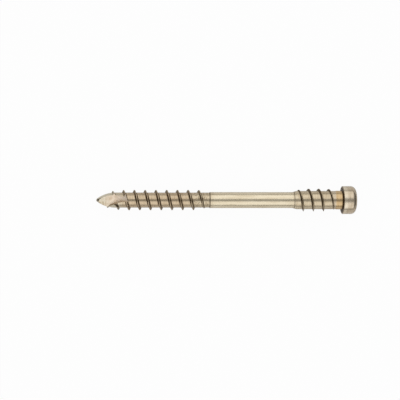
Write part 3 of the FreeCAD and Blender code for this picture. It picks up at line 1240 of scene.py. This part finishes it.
@dataclass(frozen=True)
class DeckScrew:
    """The whole screw as one closed mesh.

    Attributes:
        axis: Where the screw lies.
        blank: Its turned form.
        lower: The thread at the point.
        upper: The thread under the head.
        recess: The drive recess.
        flute: The cutting notch.
        plating: Finish of everything but the notch.
        cut_face: Finish of the notch's floor.
        sheared_face: Finish of the notch's wall, darkened with painted shade, most towards the point.
        sharp: Angle in degrees from which an edge is shaded sharp.
    """

    axis: Axis = Axis()
    blank: Blank = Blank()
    # Each thread's front, back and crest values set the painted shade on its flanks and crest
    lower: Thread = Thread(
        pitch=2.613,
        crest_x=4.02,
        start=1.44,
        end=26.63,
        fade_in=6.4,
        fade_out=2.1,
        crest_radius=2.475,
        front_flank=26.0,
        back_flank=21.0,
        first_seam=1.35,
        last_seam=0.55,
        crest_width=0.13,
        front_shade=0.74,
        back_shade=0.78,
        crest_shade=0.12,
        shadow_width=0.04,
    )
    upper: Thread = Thread(
        pitch=2.5,
        crest_x=49.39,
        start=48.9,
        end=58.6,
        fade_in=1.35,
        fade_out=2.6,
        crest_radius=2.79,
        front_flank=28.0,
        back_flank=17.0,
        first_seam=1.5,
        last_seam=0.1,
        crest_width=0.07,
        front_shade=1.0,
        back_shade=0.3,
        crest_shade=0.35,
        shadow_width=0.05,
    )
    recess: Recess = Recess()
    flute: Flute = Flute()
    plating: PlatedSteel = PlatedSteel()
    cut_face: CutSteel = CutSteel()
    # The wall's dark colours are painted shade
    sheared_face: CutSteel = CutSteel(
        front=(0.34, 0.28, 0.18),
        back=(0.66, 0.54, 0.38),
        name="wall_plating_painted_shade",
    )
    sharp: float = 32.0

    def rings(self, shell: Shell, x: Array, radius: Array, painted_shade: Array | float = 0.0) -> Array:
        """Add rings, one row each.

        Args:
            shell: The mesh that they are added to.
            x: Places along the axis.
            radius: Their radii.
            painted_shade: How much painted shade each gets.

        Returns:
            The vertices' numbers, rings by columns.
        """
        shade = np.broadcast_to(painted_shade, x.shape)
        return shell.add_points(x[:, None], radius[:, None], COLUMN_ANGLES[None, :], shade[:, None])

    def shell(self) -> Shell:
        """Lay the closed surface from the nose to the recess, without the notch.

        Returns:
            The surface.
        """
        shell = Shell()
        blank = self.blank
        first, after_lower = self.lower.lay(shell, blank.core)
        before_upper, after_upper = self.upper.lay(shell, blank.core)

        thread_start = float(np.concatenate(shell.points)[first[0], 0])
        nose_x, nose_r = blank.nose_outline(thread_start)
        nose = self.rings(shell, nose_x, nose_r)
        shell.add_rings(np.concatenate([nose, first[None, :]]))
        shell.add_cap(nose[0], 0.0, towards_head=False)

        bevel = (blank.shank_x, blank.shank_x + blank.roll_bevel)
        shank_x = np.concatenate([bevel, np.linspace(blank.shank_x + 1.0, blank.step_x, 12)])
        shank = self.rings(shell, shank_x, blank.core(shank_x))
        shell.add_rings(np.concatenate([after_lower[None, :], shank, before_upper[None, :]]))

        head = self.rings(shell, *blank.head_outline())
        shell.add_rings(np.concatenate([after_upper[None, :], head]))
        self.recess.add_to(shell, head[-1], blank.length)
        return shell

    def build(self) -> bpy.types.Object:
        """Make the mesh, cut the notch and dress the screw.

        Returns:
            The finished object.
        """
        shell = self.shell()
        body = mesh_object("screw_blank", np.concatenate(shell.points), np.concatenate(shell.faces))
        # The flank attribute holds each vertex's share of painted shade
        attribute = body.data.attributes.new("flank", "FLOAT", "POINT")
        attribute.data.foreach_set("value", np.concatenate(shell.shades).astype(np.float32))
        points, quads = self.flute.cutter()
        tool = mesh_object("notch_tool", points, quads)
        for finish in (self.plating, self.cut_face, self.sheared_face):
            material = finish.make(self.axis, self.blank)
            body.data.materials.append(material)
            tool.data.materials.append(material)
        tool.data.polygons.foreach_set("material_index", self.flute.face_finishes(len(quads)))
        screw = self.cut(body, tool)
        self.place(screw)
        screw.data.set_sharp_from_angle(angle=math.radians(self.sharp))
        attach(screw, "root")
        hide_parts("deck_screw")
        return screw

    def cut(self, body: bpy.types.Object, tool: bpy.types.Object) -> bpy.types.Object:
        """Take the notch's tool out of the body, in millimetres, and keep the result as plain mesh.

        Args:
            body: The blank with its threads.
            tool: The notch's tool.

        Returns:
            A new object with the cut mesh.
        """
        modifier = body.modifiers.new("notch", "BOOLEAN")
        modifier.operation = "DIFFERENCE"
        modifier.solver = "EXACT"
        modifier.object = tool
        graph = bpy.context.evaluated_depsgraph_get()
        mesh = bpy.data.meshes.new_from_object(body.evaluated_get(graph), depsgraph=graph)
        mesh.name = "screw"
        screw = add_object("screw", mesh)
        for piece in (body, tool):
            bpy.data.objects.remove(piece)
        return screw

    def place(self, screw: bpy.types.Object) -> None:
        """Move the mesh's vertices from the screw's own axes to the scene.

        Args:
            screw: The cut screw.
        """
        mesh = screw.data
        points = np.empty(len(mesh.vertices) * 3, dtype=np.float32)
        mesh.vertices.foreach_get("co", points)
        placed = self.axis.to_scene(points.reshape(-1, 3).astype(float))
        mesh.vertices.foreach_set("co", placed.astype(np.float32).ravel())
        mesh.polygons.foreach_set("use_smooth", np.ones(len(mesh.polygons), dtype=bool))
        mesh.update()


@dataclass(frozen=True)
class SoftBox:
    """One long soft box beside the screw, in metres and degrees.

    Attributes:
        name: The lamp's name.
        inner: Where its inner edge is seen from the screw, from straight above.
        outer: Where its outer edge is seen; a negative angle is the near side.
        glow: Its power for each square metre.
        length: Its length along the screw.
        distance: How far off its middle is.
    """

    name: str
    inner: float
    outer: float
    glow: float
    length: float = 0.52
    distance: float = 0.38

    def build(self) -> None:
        """Make the lamp, as wide as its two edges ask, and turn it to the screw."""
        middle = math.radians((self.inner + self.outer) / 2)
        width = 2 * self.distance * math.tan(math.radians(abs(self.outer - self.inner) / 2))
        data = bpy.data.lights.new(self.name, "AREA")
        data.shape = "RECTANGLE"
        data.size = self.length
        data.size_y = width
        data.energy = self.glow * self.length * width
        outward = Vector((0.0, math.sin(middle), math.cos(middle)))
        stand(add_object(self.name, data), outward * self.distance, Vector((1.0, 0.0, 0.0)), outward)


@dataclass(frozen=True)
class Studio:
    """Floor, lamps, world and camera, in metres.

    Attributes:
        target: Where the camera looks.
        distance: How far off the camera is.
        lean: How far it leans towards the point, in degrees from straight above.
        lens: Focal length in millimetres.
        sensor: Width of the sensor in millimetres.
        near: Nearest distance that the camera shows.
        floor_half: Half the floor's side.
        boxes: The soft boxes, with a narrow dark gap between them overhead.
        seen_white: How far the floor is plain white to the camera; the rest shows the shadow.
        mirrored_white: How far it is plain white in the metal.
        side_grey: How light the room is at both sides of the screw.
        end_grey: How light it is beyond the screw's ends.
        dusk: How far towards an end, from 0 to 1, the light begins to fall off and has done so.
        paper: The floor's colour.
    """

    target: Triple = (-0.00656, 0.00002, 0.00286)
    distance: float = 0.25619
    lean: float = 4.4
    lens: float = 94.5
    sensor: float = 36.0
    near: float = 0.01
    floor_half: float = 1.5
    boxes: tuple[SoftBox, ...] = (
        SoftBox(name="softbox_far", inner=15.5, outer=77.0, glow=2.2),
        SoftBox(name="softbox_near", inner=-18.5, outer=-73.0, glow=2.15),
    )
    seen_white: float = 0.96
    mirrored_white: float = 0.15
    side_grey: float = 0.36
    end_grey: float = 0.12
    dusk: Span = (0.4, 0.85)
    paper: Colour = (0.93, 0.93, 0.93)

    def build(self) -> None:
        """Set up everything that isn't the screw."""
        self.floor()
        self.world()
        for box in self.boxes:
            box.build()
        self.camera()
        bpy.context.scene.view_settings.view_transform = "Standard"

    def floor(self) -> None:
        """A pale floor under the screw, white to the camera, which keeps a faint shadow."""
        half = self.floor_half
        points = np.array([[-half, -half, 0.0], [half, -half, 0.0], [half, half, 0.0], [-half, half, 0.0]])
        floor = mesh_object("floor", points, np.array([[0, 1, 2, 3]]))
        nodes = Nodes(bpy.data.materials.new("floor_paper"))
        matt = nodes.add("ShaderNodeBsdfDiffuse", {"Color": self.paper})
        glow = nodes.add("ShaderNodeEmission")
        path = nodes.add("ShaderNodeLightPath")
        seen = nodes.times(path.outputs["Is Camera Ray"], self.seen_white)
        white = nodes.greater(seen, nodes.times(nodes.mirrored(path), self.mirrored_white))
        mix = nodes.add("ShaderNodeMixShader", {0: white, 1: matt.outputs[0], 2: glow.outputs[0]})
        nodes.add("ShaderNodeOutputMaterial", {"Surface": mix.outputs[0]})
        floor.data.materials.append(nodes.owner)

    def world(self) -> None:
        """A grey studio, white to the camera and darker beyond the screw's ends as the metal mirrors it."""
        world = bpy.data.worlds.new("studio")
        bpy.context.scene.world = world
        nodes = Nodes(world)
        x, _, _ = nodes.split(nodes.add("ShaderNodeTexCoord").outputs["Generated"])
        less = nodes.ramp(nodes.maths("ABSOLUTE", x), *self.dusk, 0.0, self.end_grey - self.side_grey)
        path = nodes.add("ShaderNodeLightPath")
        room = nodes.maths("ADD", nodes.times(nodes.mirrored(path), less), self.side_grey)
        strength = nodes.greater(path.outputs["Is Camera Ray"], room)
        background = nodes.add("ShaderNodeBackground", {"Color": (1.0, 1.0, 1.0), "Strength": strength})
        nodes.add("ShaderNodeOutputWorld", {"Surface": background.outputs[0]})

    def camera(self) -> None:
        """The camera, above the screw and leaning a little towards its point."""
        data = bpy.data.cameras.new("camera")
        data.lens = self.lens
        data.sensor_width = self.sensor
        data.clip_start = self.near
        lean = math.radians(self.lean)
        right = Vector((math.cos(lean), 0.0, math.sin(lean)))
        back = Vector((-math.sin(lean), 0.0, math.cos(lean)))
        camera = add_object("camera", data)
        stand(camera, Vector(self.target) + back * self.distance, right, back)
        bpy.context.scene.camera = camera


def main() -> None:
    """Build the screw and the studio."""
    logging.basicConfig(level=logging.INFO, format="%(name)s: %(message)s")
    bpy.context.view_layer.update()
    screw = DeckScrew().build()
    LOG.info("%s: %d vertices, %d faces", screw.name, len(screw.data.vertices), len(screw.data.polygons))
    Studio().build()
    LOG.info("studio set up")


if __name__ == "__main__":
    main()
